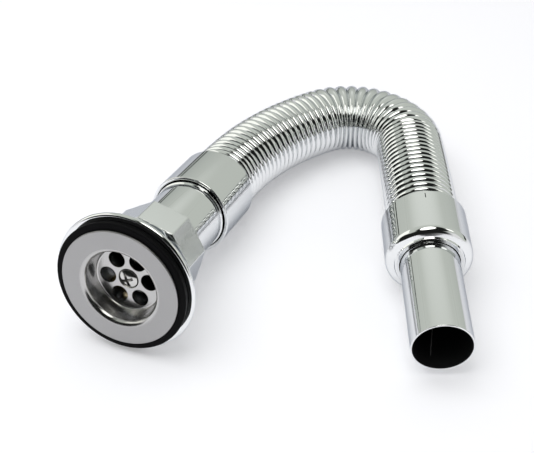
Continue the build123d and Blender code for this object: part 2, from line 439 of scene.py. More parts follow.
class HandlingGroup(SharedGroup):
    """Faint smudges that vary a surface's roughness between two values."""

    NAME = "handling_marks"
    VECTORS = ("Position",)
    NUMBERS = ("Scale", "Clean", "Smudged")
    RESULT = "Roughness"
    DETAIL = 3.0
    FAINTEST = 0.4
    STRONGEST = 0.7

    @classmethod
    def fill(cls, nodes: NodeTree, given: bpy.types.Node) -> bpy.types.NodeSocket:
        """Adds the noise and spreads it over the two values.

        Args:
            nodes: Writer of the group's tree.
            given: The node with the group's inputs.

        Returns:
            The socket with the roughness.
        """
        noise = nodes.add("ShaderNodeTexNoise")
        noise.inputs["Detail"].default_value = cls.DETAIL
        spread = nodes.add("ShaderNodeMapRange")
        spread.inputs["From Min"].default_value = cls.FAINTEST
        spread.inputs["From Max"].default_value = cls.STRONGEST
        nodes.link(given.outputs["Position"], noise.inputs["Vector"])
        nodes.link(given.outputs["Scale"], noise.inputs["Scale"])
        nodes.link(noise.outputs["Fac"], spread.inputs["Value"])
        nodes.link(given.outputs["Clean"], spread.inputs["To Min"])
        nodes.link(given.outputs["Smudged"], spread.inputs["To Max"])
        return spread.outputs["Result"]


class AxisGroup(SharedGroup):
    """Mask by the distance from an axis or a plane, 0 inside and 1 outside."""

    NAME = "axis_distance"
    VECTORS = ("Place", "Weights")
    NUMBERS = ("Inner", "Outer")
    RESULT = "Outside"

    @classmethod
    def fill(cls, nodes: NodeTree, given: bpy.types.Node) -> bpy.types.NodeSocket:
        """Weighs the place by direction and measures how far out it is.

        Args:
            nodes: Writer of the group's tree.
            given: The node with the group's inputs.

        Returns:
            The socket with the mask.
        """
        weighted = nodes.add("ShaderNodeVectorMath", operation="MULTIPLY")
        distance = nodes.add("ShaderNodeVectorMath", operation="LENGTH")
        zone = nodes.add("ShaderNodeMapRange")
        nodes.link(given.outputs["Place"], weighted.inputs[0])
        nodes.link(given.outputs["Weights"], weighted.inputs[1])
        nodes.link(weighted.outputs["Vector"], distance.inputs[0])
        nodes.link(distance.outputs["Value"], zone.inputs["Value"])
        nodes.link(given.outputs["Inner"], zone.inputs["From Min"])
        nodes.link(given.outputs["Outer"], zone.inputs["From Max"])
        return zone.outputs["Result"]


@dataclass(frozen=True)
class Finish:
    """Plain finish with faint smudges."""

    slot: Slot
    colour: Colour
    metallic: float
    clean: float
    smudged: float
    smudge_scale: float = 60.0
    specular: float = 0.5
    edge: Colour = (1, 1, 1, 1)

    @property
    def name(self) -> str:
        """Name of the finish's material."""
        return self.slot.value + "_finish"

    def material(self) -> bpy.types.Material:
        """Makes the finish's material at its first use.

        Returns:
            The material.
        """
        made = bpy.data.materials.get(self.name)
        if made:
            return made
        made = bpy.data.materials.new(self.name)
        made.use_nodes = True
        self.dress(NodeTree(made.node_tree), made.node_tree.nodes["Principled BSDF"])
        return made

    def dress(self, nodes: NodeTree, shader: bpy.types.Node) -> None:
        """Sets the shader's constants and feeds its roughness.

        Args:
            nodes: Writer of the material's tree.
            shader: The material's Principled BSDF.
        """
        shader.inputs["Base Color"].default_value = self.colour
        shader.inputs["Metallic"].default_value = self.metallic
        shader.inputs["Specular IOR Level"].default_value = self.specular
        shader.inputs["Specular Tint"].default_value = self.edge
        place = nodes.add("ShaderNodeTexCoord")
        marks = nodes.add("ShaderNodeGroup", node_tree=HandlingGroup.tree())
        marks.inputs["Scale"].default_value = self.smudge_scale
        marks.inputs["Clean"].default_value = self.clean
        marks.inputs["Smudged"].default_value = self.smudged
        nodes.link(place.outputs["Object"], marks.inputs["Position"])
        nodes.link(marks.outputs["Roughness"], shader.inputs["Roughness"])


@dataclass(frozen=True)
class NamedFinish(Finish):
    """Finish that shares its slot with another one."""

    label: str = "other"

    @property
    def name(self) -> str:
        """Name of the finish's material, with its label."""
        return f"{self.slot.value}_{self.label}"


@dataclass(frozen=True)
class ZonedFinish(NamedFinish):
    """Finish that changes inside a distance from an axis or a plane, in millimetres."""

    frame_to_row: Matrix = Matrix.Identity(4)
    zone: Zone = Zone.RADIAL
    inner_radius: float = 0.0
    outer_radius: float = 1.0
    inner_colour: Colour = (0, 0, 0, 1)
    inner_metallic: float = 1.0
    inner_roughness: float = 0.5

    def dress(self, nodes: NodeTree, shader: bpy.types.Node) -> None:
        """Feeds what differs in the zone by the distance from the axis or the plane.

        Args:
            nodes: Writer of the material's tree.
            shader: The material's Principled BSDF.
        """
        super().dress(nodes, shader)
        marks = shader.inputs["Roughness"].links[0].from_socket
        place = nodes.add("ShaderNodeTexCoord")
        to_axis = nodes.add("ShaderNodeMapping", vector_type="TEXTURE")
        to_axis.inputs["Location"].default_value = self.frame_to_row.translation
        to_axis.inputs["Rotation"].default_value = self.frame_to_row.to_euler()
        mask = nodes.add("ShaderNodeGroup", node_tree=AxisGroup.tree())
        mask.inputs["Weights"].default_value = self.zone.value
        mask.inputs["Inner"].default_value = self.inner_radius * MM
        mask.inputs["Outer"].default_value = self.outer_radius * MM
        nodes.link(place.outputs["Object"], to_axis.inputs["Vector"])
        nodes.link(to_axis.outputs["Vector"], mask.inputs["Place"])
        roughness = nodes.add("ShaderNodeMix", data_type="FLOAT")
        roughness.inputs[2].default_value = self.inner_roughness
        nodes.link(marks, roughness.inputs[3])
        fed = [(roughness, 0, "Roughness")]
        if self.inner_metallic != self.metallic:
            metallic = nodes.add("ShaderNodeMix", data_type="FLOAT")
            metallic.inputs[2].default_value = self.inner_metallic
            metallic.inputs[3].default_value = self.metallic
            fed.append((metallic, 0, "Metallic"))
        if self.inner_colour != self.colour:
            colour = nodes.add("ShaderNodeMix", data_type="RGBA")
            colour.inputs[6].default_value = self.inner_colour
            colour.inputs[7].default_value = self.colour
            fed.append((colour, 2, "Base Color"))
        for mix, output, socket in fed:
            nodes.link(mask.outputs["Outside"], mix.inputs[0])
            nodes.link(mix.outputs[output], shader.inputs[socket])


CHROME = Finish(
    Slot.CHROME,
    colour=(0.84, 0.85, 0.855, 1),
    metallic=1.0,
    clean=0.03,
    smudged=0.07,
    edge=(0.46, 0.48, 0.51, 1),
)
BRIGHT_STEEL = Finish(
    Slot.BRIGHT_STEEL, colour=(0.6, 0.595, 0.58, 1), metallic=1.0, clean=0.1, smudged=0.16
)
RUBBER = Finish(
    Slot.RUBBER,
    colour=(0.003, 0.003, 0.0035, 1),
    metallic=0.0,
    clean=0.5,
    smudged=0.6,
    specular=0.06,
)
BRASS = Finish(
    Slot.BRASS, colour=(0.72, 0.55, 0.26, 1), metallic=1.0, clean=0.22, smudged=0.32
)
SEAM = NamedFinish(
    Slot.CHROME,
    colour=(0.12, 0.12, 0.12, 1),
    metallic=0.0,
    clean=0.5,
    smudged=0.6,
    label="weld_seam",
)


def finish_piece(obj: bpy.types.Object, finish: Finish, body: Body, node: str) -> None:
    """Dresses a piece and lets it stand for its CAD node.

    Args:
        obj: The piece, in place.
        finish: Its finish.
        body: The body it rides on.
        node: The CAD node it stands for.
    """
    obj.data.materials.clear()
    obj.data.materials.append(finish.material())
    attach(obj, body.value)
    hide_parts(node)
    LOG.info("%s: %d faces", obj.name, len(obj.data.polygons))


@dataclass
class WasteAssembly:
    """Strainer, screw, gasket and waste body on the strainer's axis, sizes in millimetres."""

    head_seat: float = 9.5
    sheet: float = 1.2
    strainer_radius: float = 32.25
    mouth_radius: float = 20.2
    mouth_round: float = 3.2
    lip_start: float = 1.3
    lip_end: float = 2.4
    plate_round: float = 0.5
    plate_back_round: float = 0.3
    seat_round: float = 0.2
    floor_radius: float = 18.0
    floor_round: float = 1.0
    cup_depth: float = 10.3
    hole_radius: float = 4.6
    hole_circle: float = 11.6
    hole_count: int = 6
    hole_turn: float = 4.0
    hole_sides: int = 48
    hole_bevel: float = 0.3
    screw_head: float = 5.2
    screw_gap: float = 0.4
    screw_shank: float = 3.0
    screw_crown: float = 1.2
    screw_edge: float = 0.8
    screw_land: float = 0.1
    screw_cone: float = 2.6
    screw_length: float = 34.0
    screw_sides: int = 64
    crown_shares: tuple[float, ...] = (0.02, 0.2, 0.4, 0.6, 0.8, 0.92)
    recess_length: float = 6.8
    recess_width: float = 1.6
    recess_depth: float = 3.0
    recess_turn: float = 0.4
    recess_bevel: float = 0.08
    clearance: float = 0.1
    gasket_radius: float = 36.2
    gasket_bore: float = 24.0
    gasket_thickness: float = 5.0
    gasket_round: float = 0.9
    gasket_taper: float = 1.3
    flange_radius: float = 38.38
    rim: float = 3.0
    rim_flat: float = 0.01
    waist: float = 0.36
    dish_steps: int = 14
    octagon_depth: float = 28.0
    octagon_length: float = 19.0
    octagon_apothem: float = 24.0
    octagon_turn: float = 8.0
    octagon_round: float = 0.5
    octagon_sides: int = 8
    octagon_blur: float = 0.2
    octagon_roughness: float = 0.2
    core_room: float = 1.0
    core_sides: int = 96
    bowl_mouth: float = 28.0
    bowl_lip: float = 2.8
    throat: float = 20.0
    throat_step: float = 3.0
    bore: float = 16.5
    neck: float = 19.8
    bead: float = 0.7
    bead_depth: float = 80.8
    bead_length: float = 3.2
    bead_room: float = 0.6
    bead_round: float = 0.3
    thread_radius: float = 20.95
    thread_start: float = 92.5
    thread_pitch: float = 2.309
    tail_end: float = 108.5

    def __post_init__(self) -> None:
        """Finds the strainer's face in the frame."""
        turn = joint("screw_turn")
        axis = Vector(turn["axis"])
        face = Vector(turn["pos_m"]) + axis * self.head_seat * MM
        self.frame_to_row = axis_frame(face, axis)
        self.flange_seat = self.sheet + self.gasket_thickness

    def build(self) -> None:
        """Builds the pieces and dresses them."""
        steel = ZonedFinish(
            Slot.SATIN_STEEL,
            colour=(0.385, 0.382, 0.383, 1),
            metallic=1.0,
            clean=0.3,
            smudged=0.34,
            label="cup",
            frame_to_row=self.frame_to_row,
            inner_radius=self.mouth_radius + self.lip_start,
            outer_radius=self.mouth_radius + self.lip_end,
            inner_colour=(0.52, 0.515, 0.51, 1),
            inner_roughness=0.19,
        )
        half = self.octagon_length / 2
        middle = Matrix.Translation((0, 0, -(self.octagon_depth + half) * MM))
        cast = ZonedFinish(
            **asdict(CHROME),
            label="cast",
            frame_to_row=self.frame_to_row @ middle,
            zone=Zone.AXIAL,
            inner_radius=half - self.octagon_blur,
            outer_radius=half + self.octagon_blur,
            inner_colour=CHROME.colour,
            inner_roughness=self.octagon_roughness,
        )
        pieces = (
            (self.strainer(), steel, Body.WASTE, "strainer"),
            (self.screw(), BRIGHT_STEEL, Body.SCREW, "strainer_screw"),
            (self.gasket(), RUBBER, Body.WASTE, "basin_gasket"),
            (self.waste_body(), cast, Body.WASTE, "waste_body"),
        )
        for obj, finish, body, node in pieces:
            Bench.place(obj, self.frame_to_row)
            finish_piece(obj, finish, body, node)

    def strainer(self) -> bpy.types.Object:
        """Makes the plate with its cup, holes and screw seat.

        Returns:
            The plate, in the strainer's frame.
        """
        sheet = self.sheet
        floor = -self.cup_depth
        seat = self.screw_shank + self.clearance
        cone = floor - self.screw_cone
        plate = Bench.turn(
            "strainer_plate",
            (
                Corner(self.strainer_radius, 0, self.plate_round),
                Corner(self.strainer_radius, -sheet, self.plate_back_round),
                Corner(self.mouth_radius + sheet, -sheet),
                Corner(self.floor_radius + sheet, floor - sheet, self.floor_round + sheet),
                Corner(self.screw_head + sheet, floor - sheet),
                Corner(seat + sheet, cone - sheet),
                Corner(seat, cone - sheet),
                Corner(seat, cone),
                Corner(self.screw_head + self.screw_gap, floor, self.seat_round),
                Corner(self.floor_radius, floor, self.floor_round),
                Corner(self.mouth_radius, 0, self.mouth_round),
            ),
        )
        tools = []
        for i in range(self.hole_count):
            angle = math.radians(self.hole_turn + 360 * i / self.hole_count)
            at = (self.hole_circle * math.cos(angle), self.hole_circle * math.sin(angle), floor)
            tools.append(
                Bench.cylinder(self.hole_sides, self.hole_radius, 2 * self.cup_depth, at)
            )
        Bench.cut(plate, tools)
        Bench.bevel(plate, self.hole_bevel, segments=3, angle=60)
        Bench.soften(plate)
        return plate

    def screw(self) -> bpy.types.Object:
        """Makes the raised countersunk screw with its cross recess.

        Returns:
            The screw, in the strainer's frame.
        """
        edge = -self.head_seat
        under = edge - self.screw_edge + self.clearance
        crown = [
            Vector((self.screw_head * share, edge + self.screw_crown * (1 - share**2)))
            for share in self.crown_shares
        ]
        points = [
            *crown,
            Vector((self.screw_head, edge - self.screw_land)),
            Vector((self.screw_head, under)),
            Vector((self.screw_shank, under - self.screw_cone)),
            Vector((self.screw_shank, edge - self.screw_length)),
            Vector((crown[0].x, edge - self.screw_length)),
        ]
        screw = Bench.extrude_rings("cross_head_screw", points, self.screw_sides)
        bpy.ops.object.mode_set(mode="EDIT")
        bpy.ops.mesh.select_all(action="SELECT")
        bpy.ops.mesh.fill_holes(sides=0)
        bpy.ops.object.mode_set(mode="OBJECT")
        Bench.close(screw)
        slot = (self.recess_length, self.recess_width, 2 * self.recess_depth)
        top = (0, 0, edge + self.screw_crown)
        turns = (self.recess_turn, self.recess_turn + math.pi / 2)
        Bench.cut(screw, [Bench.block(slot, top, turn) for turn in turns])
        Bench.bevel(screw, self.recess_bevel, segments=2, angle=50)
        Bench.soften(screw)
        return screw

    def gasket(self) -> bpy.types.Object:
        """Makes the rubber ring, with rounded edges.

        Returns:
            The ring, in the strainer's frame.
        """
        low = -self.flange_seat
        soft = self.gasket_round
        gasket = Bench.turn(
            "rubber_gasket",
            (
                Corner(self.gasket_bore, low),
                Corner(self.gasket_radius - self.gasket_taper, low, soft),
                Corner(self.gasket_radius, -self.sheet, soft),
                Corner(self.gasket_bore, -self.sheet),
            ),
        )
        Bench.soften(gasket)
        return gasket

    def waste_body(self) -> bpy.types.Object:
        """Makes the flanged bowl with its octagon, neck and tail.

        Returns:
            The casting, in the strainer's frame.
        """
        seat = -self.flange_seat
        back = seat - self.rim
        half = self.rim / 2
        reach = self.flange_radius - half
        end = -self.octagon_depth - self.octagon_length
        corners = [
            Corner(self.bowl_mouth, seat),
            Corner(reach + half, seat, half - self.rim_flat),
            Corner(reach + half, back, half - self.rim_flat),
            *self.dish(reach - half, back),
            Corner(self.octagon_apothem, end),
            Corner(self.neck, end),
            Corner(self.neck, self.bead_room - self.bead_depth),
            Corner(self.neck + self.bead, -self.bead_depth, self.bead_round),
            Corner(self.neck + self.bead, -self.bead_depth - self.bead_length),
            Corner(self.neck, -self.bead_depth - self.bead_length - self.bead_room),
            Corner(self.neck, -self.thread_start),
            Corner(self.thread_radius, -self.thread_start - self.thread_pitch),
            Corner(self.thread_radius, -self.tail_end),
            Corner(self.bore, -self.tail_end),
            Corner(self.bore, end - (self.throat - self.bore) + self.throat_step),
            Corner(self.throat, end + self.throat_step),
            Corner(self.throat, -self.octagon_depth),
            Corner(self.bowl_mouth, seat - self.bowl_lip),
        ]
        shell = Bench.turn("flanged_waste", corners)
        octagon = Bench.cylinder(
            self.octagon_sides,
            self.octagon_apothem / math.cos(math.pi / self.octagon_sides),
            self.octagon_length,
            (0, 0, end + self.octagon_length / 2),
            (0, 0, math.radians(self.octagon_turn - 90)),
        )
        Bench.cut(octagon, [self.octagon_core(end)])
        Bench.bevel(octagon, self.octagon_round, segments=4, angle=30)
        body = Bench.join("flanged_waste", [shell, octagon])
        Bench.soften(body)
        return body

    def dish(self, start_radius: float, back: float) -> list[Corner]:
        """Points on the arc of the dished back, from the rim to the octagon.

        Args:
            start_radius: Radius where the dish leaves the rim.
            back: Height of the rim's back.

        Returns:
            Corners on the arc, the octagon's end included.
        """
        low = Vector((self.octagon_apothem, -self.octagon_depth))
        start = Vector((start_radius, back))
        middle = Vector(
            (
                self.octagon_apothem + (self.flange_radius - self.octagon_apothem) * self.waist,
                (back - self.octagon_depth) / 2,
            )
        )
        pull = 2 * middle - (start + low) / 2
        points = []
        for k in range(self.dish_steps + 1):
            t = k / self.dish_steps
            points.append((1 - t) ** 2 * start + 2 * t * (1 - t) * pull + t**2 * low)
        return [Corner(p.x, p.y) for p in points]

    def octagon_core(self, end: float) -> bpy.types.Object:
        """Makes the cylinder that hollows the octagon for the throat.

        Args:
            end: Height of the octagon's back.

        Returns:
            The cylinder, longer than the octagon.
        """
        return Bench.cylinder(
            self.core_sides,
            self.throat + self.core_room,
            3 * self.octagon_length,
            (0, 0, end + self.octagon_length / 2),
        )


@dataclass
class CouplingNut:
    """Round union nut between the waste and the pipe, sizes in millimetres."""

    length: float = 36.0
    radius: float = 22.995
    front_round: float = 0.7
    back_round: float = 0.5
    mouth_round: float = 0.8
    bore: float = 21.05
    throat: float = 19.1
    throat_round: float = 0.3
    back_wall: float = 3.0

    def build(self) -> None:
        """Builds the nut and dresses it."""
        turn = joint("coupling_turn")
        nut = Bench.turn(
            "pipe_union_nut",
            (
                Corner(self.bore, 0, self.mouth_round),
                Corner(self.radius, 0, self.front_round),
                Corner(self.radius, self.length, self.back_round),
                Corner(self.throat, self.length, self.throat_round),
                Corner(self.throat, self.length - self.back_wall),
                Corner(self.bore, self.length - self.back_wall),
            ),
        )
        Bench.soften(nut)
        Bench.place(nut, axis_frame(Vector(turn["pos_m"]), Vector(turn["axis"])))
        finish_piece(nut, CHROME, Body.COUPLING, "coupling_nut")


@dataclass
class OutletAssembly:
    """Outlet tube and its nut, sizes in millimetres."""

    nut_radius: float = 23.5
    barrel: float = 29.5
    shoulder: float = 4.2
    shoulder_inner: float = 17.3
    collar: float = 1.6
    collar_top: float = 1.1
    collar_round: float = 0.45
    shoulder_swell: float = 1.4
    front_round: float = 4.05
    back_round: float = 0.5
    bore: float = 21.05
    bore_round: float = 0.4
    throat: float = 16.3
    throat_round: float = 0.3
    seat: float = 28.0
    tube_radius: float = 16.0
    tube_wall: float = 1.0
    tube_visible: float = 59.8
    flange_run: float = 22.0
    flange_thickness: float = 2.0
    flange_radius: float = 20.5
    mouth_round: float = 0.3
    # Distances past the tube's inner wall over which the painted shade of the bore fades out
    dark_start: float = 0.1
    dark_end: float = 0.25
    tick_turn: float = 94.0
    tick_run: float = 4.0
    tick_size: tuple[float, float, float] = (3.0, 0.45, 3.8)
    seam_turn: float = -99.6
    seam_skew: float = -9.0
    seam_radius: float = 0.3
    seam_length: float = 33.0
    seam_sides: int = 12

    def build(self) -> None:
        """Builds the tube and the nut and dresses them."""
        turn = joint("outlet_nut_turn")
        frame_to_row = axis_frame(Vector(turn["pos_m"]), Vector(turn["axis"]))
        inner = self.tube_radius - self.tube_wall
        # Painted shade: on the tube's inner wall and just past it, the chrome turns near black,
        # dull and non-metal, standing in for the shade inside the tube
        bore_painted_shade = ZonedFinish(
            **asdict(CHROME),
            label="bore_painted_shade",
            frame_to_row=frame_to_row,
            inner_radius=inner + self.dark_start,
            outer_radius=inner + self.dark_end,
            inner_colour=(0.006, 0.006, 0.006, 1),
            inner_metallic=0.0,
            inner_roughness=0.6,
        )
        pieces = (
            (self.nut(), CHROME, Body.OUTLET_NUT, "outlet_nut"),
            (self.tube(), bore_painted_shade, Body.OUTLET, "outlet_tube"),
        )
        for obj, finish, body, node in pieces:
            Bench.soften(obj)
            Bench.place(obj, frame_to_row)
            finish_piece(obj, finish, body, node)
        seam = self.seam()
        Bench.soften(seam)
        Bench.place(seam, frame_to_row)
        seam.data.materials.append(SEAM.material())
        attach(seam, Body.OUTLET.value)

    def seam(self) -> bpy.types.Object:
        """Makes the weld seam along the inside of the tube.

        Returns:
            The seam, in the outlet's frame.
        """
        inner = self.tube_radius - self.tube_wall
        end = self.barrel + self.shoulder + self.tube_visible
        turn = math.radians(self.seam_turn)
        middle = end - self.mouth_round - self.seam_length / 2
        seam = Bench.cylinder(
            self.seam_sides,
            self.seam_radius,
            self.seam_length,
            (inner * math.cos(turn), inner * math.sin(turn), middle),
            (0, math.radians(self.seam_skew), 0),
        )
        seam.name = "tube_weld_seam"
        return seam

    def nut(self) -> bpy.types.Object:
        """Makes the nut with its rounded shoulder and the tick on its back edge.

        Returns:
            The nut, in the outlet's frame.
        """
        front = self.barrel + self.shoulder
        cone = self.nut_radius - self.shoulder_inner
        cone_end = front - self.shoulder * self.collar / cone
        nut = Bench.turn(
            "outlet_union_nut",
            (
                Corner(self.bore, 0, self.bore_round),
                Corner(self.nut_radius, 0, self.back_round),
                Corner(self.nut_radius, self.tick_run + self.tick_size[2]),
                Corner(self.nut_radius, self.barrel + self.shoulder_swell, self.front_round),
                Corner(self.shoulder_inner + self.collar, cone_end),
                Corner(self.shoulder_inner + self.collar_top, front, self.collar_round),
                Corner(self.throat, front, self.throat_round),
                Corner(self.throat, self.seat),
                Corner(self.bore, self.seat),
            ),
        )
        turn = math.radians(self.tick_turn)
        at = (self.nut_radius * math.cos(turn), self.nut_radius * math.sin(turn), self.tick_run)
        Bench.cut(nut, [Bench.block(self.tick_size, at, turn)])
        return nut

    def tube(self) -> bpy.types.Object:
        """Makes the flanged tube.

        Returns:
            The tube, in the outlet's frame.
        """
        inner = self.tube_radius - self.tube_wall
        flange_end = self.flange_run + self.flange_thickness
        end = self.barrel + self.shoulder + self.tube_visible
        return Bench.turn(
            "plain_outlet_tube",
            (
                Corner(inner, self.flange_run),
                Corner(self.flange_radius, self.flange_run),
                Corner(self.flange_radius, flange_end),
                Corner(self.tube_radius, flange_end),
                Corner(self.tube_radius, end, self.mouth_round),
                Corner(inner, end, self.mouth_round),
            ),
        )


@dataclass
class PipePath:
    """Centreline of the bent pipe, sizes in millimetres and degrees."""

    coupling_length: float = 36.0
    coupling_neck: float = 2.2
    outlet_neck: float = 0.6
    gentle_radius: float = 142.0
    gentle_turn: float = 39.0
    bend_radius: float = 35.9
    bend_height: float = 21.0
    settle_run: float = 20.0
    straight_run: float = 78.0

    def __post_init__(self) -> None:
        """Finds the pipe's two ends in the frame."""
        coupling = joint("coupling_turn")
        outlet = joint("outlet_nut_turn")
        axis = Vector(coupling["axis"])
        leaving = Vector(outlet["axis"])
        front = Vector(coupling["pos_m"]) / MM
        self.start = front + axis * (self.coupling_length + self.coupling_neck)
        self.start_slope = axis.z / axis.y
        self.end_height = (Vector(outlet["pos_m"]) / MM - leaving * self.outlet_neck).z
        self.end_slope = leaving.z / math.hypot(leaving.x, leaving.y)
        self.end_turn = math.atan2(leaving.x, leaving.y)
        self.gentle = math.radians(self.gentle_turn)
        self.gentle_length = self.gentle_radius * self.gentle
        self.bend_length = self.bend_radius * (self.end_turn - self.gentle)
        self.length = self.gentle_length + self.bend_length + self.straight_run
        self.bend_middle = self.gentle_length + self.bend_length / 2

    def plan(self, run: float) -> tuple[Vector, float]:
        """Finds the centreline's place and heading from above.

        Args:
            run: Length along the pipe from the coupling nut.

        Returns:
            The place and the heading, turned from +Y towards +X.
        """
        gentle = min(run, self.gentle_length) / self.gentle_radius
        bent = min(max(run - self.gentle_length, 0), self.bend_length) / self.bend_radius
        ahead = max(run - self.gentle_length - self.bend_length, 0)
        turn = gentle + bent
        arc = Vector((1 - math.cos(gentle), math.sin(gentle))) * self.gentle_radius
        arc += Vector(
            (math.cos(gentle) - math.cos(turn), math.sin(turn) - math.sin(gentle))
        ) * self.bend_radius
        arc += Vector((math.sin(turn), math.cos(turn))) * ahead
        arc += Vector((0, min(run, 0)))
        return self.start.xy + arc, turn

    @staticmethod
    def eased(share: float, span: float, start: Vector, end: Vector) -> tuple[float, float]:
        """Eases between two heights and slopes.

        Args:
            share: Share of the span that is passed.
            span: Length of the span.
            start: Height and slope at its start.
            end: Height and slope at its end.

        Returns:
            The height and the slope there.
        """
        height = (
            (2 * share**3 - 3 * share**2 + 1) * start[0]
            + (share**3 - 2 * share**2 + share) * span * start[1]
            + (3 * share**2 - 2 * share**3) * end[0]
            + (share**3 - share**2) * span * end[1]
        )
        slope = (
            6 * (share**2 - share) * (start[0] - end[0]) / span
            + (3 * share**2 - 4 * share + 1) * start[1]
            + (3 * share**2 - 2 * share) * end[1]
        )
        return height, slope

    def rise(self, run: float) -> tuple[float, float]:
        """Finds the centreline's height and slope.

        Args:
            run: Length along the pipe from the coupling nut.

        Returns:
            The height and the slope there.
        """
        settled = self.start.z + self.start_slope * self.settle_run / 2
        if run < self.settle_run:
            leave = Vector((self.start.z, self.start_slope))
            return self.eased(run / self.settle_run, self.settle_run, leave, Vector((settled, 0)))
        if run < self.bend_middle:
            span = self.bend_middle - self.settle_run
            share = (run - self.settle_run) / span
            return self.eased(share, span, Vector((settled, 0)), Vector((self.bend_height, 0)))
        span = self.length - self.bend_middle
        share = (run - self.bend_middle) / span
        arrive = Vector((self.end_height, self.end_slope))
        return self.eased(share, span, Vector((self.bend_height, 0)), arrive)

    def station(self, run: float) -> Matrix:
        """Finds the frame square to the centreline.

        Args:
            run: Length along the pipe, also past its ends.

        Returns:
            The frame there, in millimetres.
        """
        inside = min(max(run, 0), self.length)
        place, turn = self.plan(inside)
        height, slope = self.rise(inside)
        along = Vector((math.sin(turn), math.cos(turn), slope)).normalized()
        at = Vector((place.x, place.y, height)) + along * (run - inside)
        return axis_frame(at, along)


@dataclass
class CorrugatedPipe:
    """Folded chrome pipe bent along its path from the coupling nut to the outlet, sizes in
    millimetres.
    """

    path: PipePath
    straight_pitch: float = 4.4
    bend_pitch: float = 5.8
    valley: float = 18.3
    crest: float = 20.19
    fullness: float = 0.8
    fold_steps: int = 8
    segments: int = 88
    sheet: float = 0.3
    rounding: float = 1e-6
    cuff_radius: float = 18.8
    cuff_bore: float = 18.0
    cuff_round: float = 0.2
    sharp_angle: float = 60.0
    flare_radius: float = 20.3
    flare_thickness: float = 2.0
    flare_back: float = 7.2
    outlet_cuff: float = 20.1

    def build(self) -> None:
        """Builds the pipe along its path and dresses it."""
        folds = self.folds()
        cuff = self.coupling_cuff()
        tail = self.outlet_tail()
        pipe = Bench.join("corrugated_pipe", [folds, cuff, tail])
        Bench.soften(pipe, self.sharp_angle)
        path = self.path
        for vertex in pipe.data.vertices:
            across = Vector((vertex.co.x, vertex.co.y, 0))
            vertex.co = path.station(vertex.co.z) @ across
        Bench.place(pipe, Matrix.Identity(4))
        pipe.data.materials.clear()
        pipe.data.materials.append(CHROME.material())
        ends = (path.gentle_length, path.gentle_length + path.bend_length)
        start, end = (path.station(run).translation * MM for run in ends)
        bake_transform(pipe)
        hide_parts("flexible_pipe")
        LOG.info("%s: %d faces", pipe.name, len(pipe.data.polygons))

    def fold_runs(self) -> list[float]:
        """Shares the path out among the folds.

        Returns:
            The runs at which the folds start, and where the last one ends.
        """
        path = self.path
        runs = [0.0]
        stretches = (
            (path.gentle_length, self.straight_pitch),
            (path.bend_length, self.bend_pitch),
            (path.straight_run, self.straight_pitch),
        )
        for length, pitch in stretches:
            first = runs[-1]
            count = round(length / pitch)
            runs += [first + length * (i + 1) / count for i in range(count)]
        return runs

    def folds(self) -> bpy.types.Object:
        """Makes one fold, repeats it and gives the sheet its thickness.

        Returns:
            The straight folded pipe, with heights that are runs along the path.
        """
        runs = self.fold_runs()
        depth = self.crest - self.valley
        points = []
        for k in range(self.fold_steps + 1):
            share = k / self.fold_steps
            swell = max(math.sin(math.pi * share), 0) ** self.fullness
            points.append(Vector((self.valley + depth * swell, share)))
        fold = Bench.extrude_rings("folds", points, self.segments)
        bpy.ops.object.modifier_add(type="ARRAY")
        array = fold.modifiers[-1]
        array.count = len(runs) - 1
        array.use_relative_offset = False
        array.use_constant_offset = True
        array.constant_offset_displace = (0, 0, 1)
        array.use_merge_vertices = True
        array.merge_threshold = Bench.MERGE
        Bench.apply(fold)
        Bench.close(fold)
        for vertex in fold.data.vertices:
            index = min(int(vertex.co.z + self.rounding), len(runs) - 2)
            share = vertex.co.z - index
            vertex.co.z = runs[index] + (runs[index + 1] - runs[index]) * share
        bpy.ops.object.modifier_add(type="SOLIDIFY")
        fold.modifiers[-1].thickness = self.sheet
        fold.modifiers[-1].offset = -1
        Bench.apply(fold)
        return fold

    def coupling_cuff(self) -> bpy.types.Object:
        """Makes the flared cuff inside the coupling nut.

        Returns:
            The cuff, before the path bends it.
        """
        back = -self.flare_back
        return Bench.turn(
            "coupling_cuff",
            (
                Corner(self.cuff_bore, back - self.flare_thickness),
                Corner(self.flare_radius, back - self.flare_thickness),
                Corner(self.flare_radius, back),
                Corner(self.cuff_radius, back),
                Corner(self.cuff_radius, 0, self.cuff_round),
                Corner(self.cuff_bore, 0),
            ),
            self.segments,
        )

    def outlet_tail(self) -> bpy.types.Object:
        """Makes the plain cuff inside the outlet nut.

        Returns:
            The cuff, before the path bends it.
        """
        start = self.path.length
        return Bench.turn(
            "outlet_cuff",
            (
                Corner(self.cuff_bore, start),
                Corner(self.cuff_radius, start, self.cuff_round),
                Corner(self.cuff_radius, start + self.outlet_cuff),
                Corner(self.cuff_bore, start + self.outlet_cuff),
            ),
            self.segments,
        )


@dataclass(frozen=True)
class InnerRing:
    """CAD ring inside a nut that only takes a finish."""

    node: str
    finish: Finish

    def dress(self) -> None:
        """Gives the CAD node its material and slot."""
        obj = frame["nodes"][self.node]
        obj.data.materials.clear()
        obj.data.materials.append(self.finish.material())
        LOG.info("%s: finish only", self.node)


INNER_RINGS = (
    InnerRing("thread_insert", BRASS),
    InnerRing("coupling_washer", RUBBER),
    InnerRing("coupling_slip_ring", BRASS),
    InnerRing("outlet_fitting", BRASS),
    InnerRing("outlet_washer", RUBBER),
    InnerRing("outlet_slip_ring", BRASS),
)


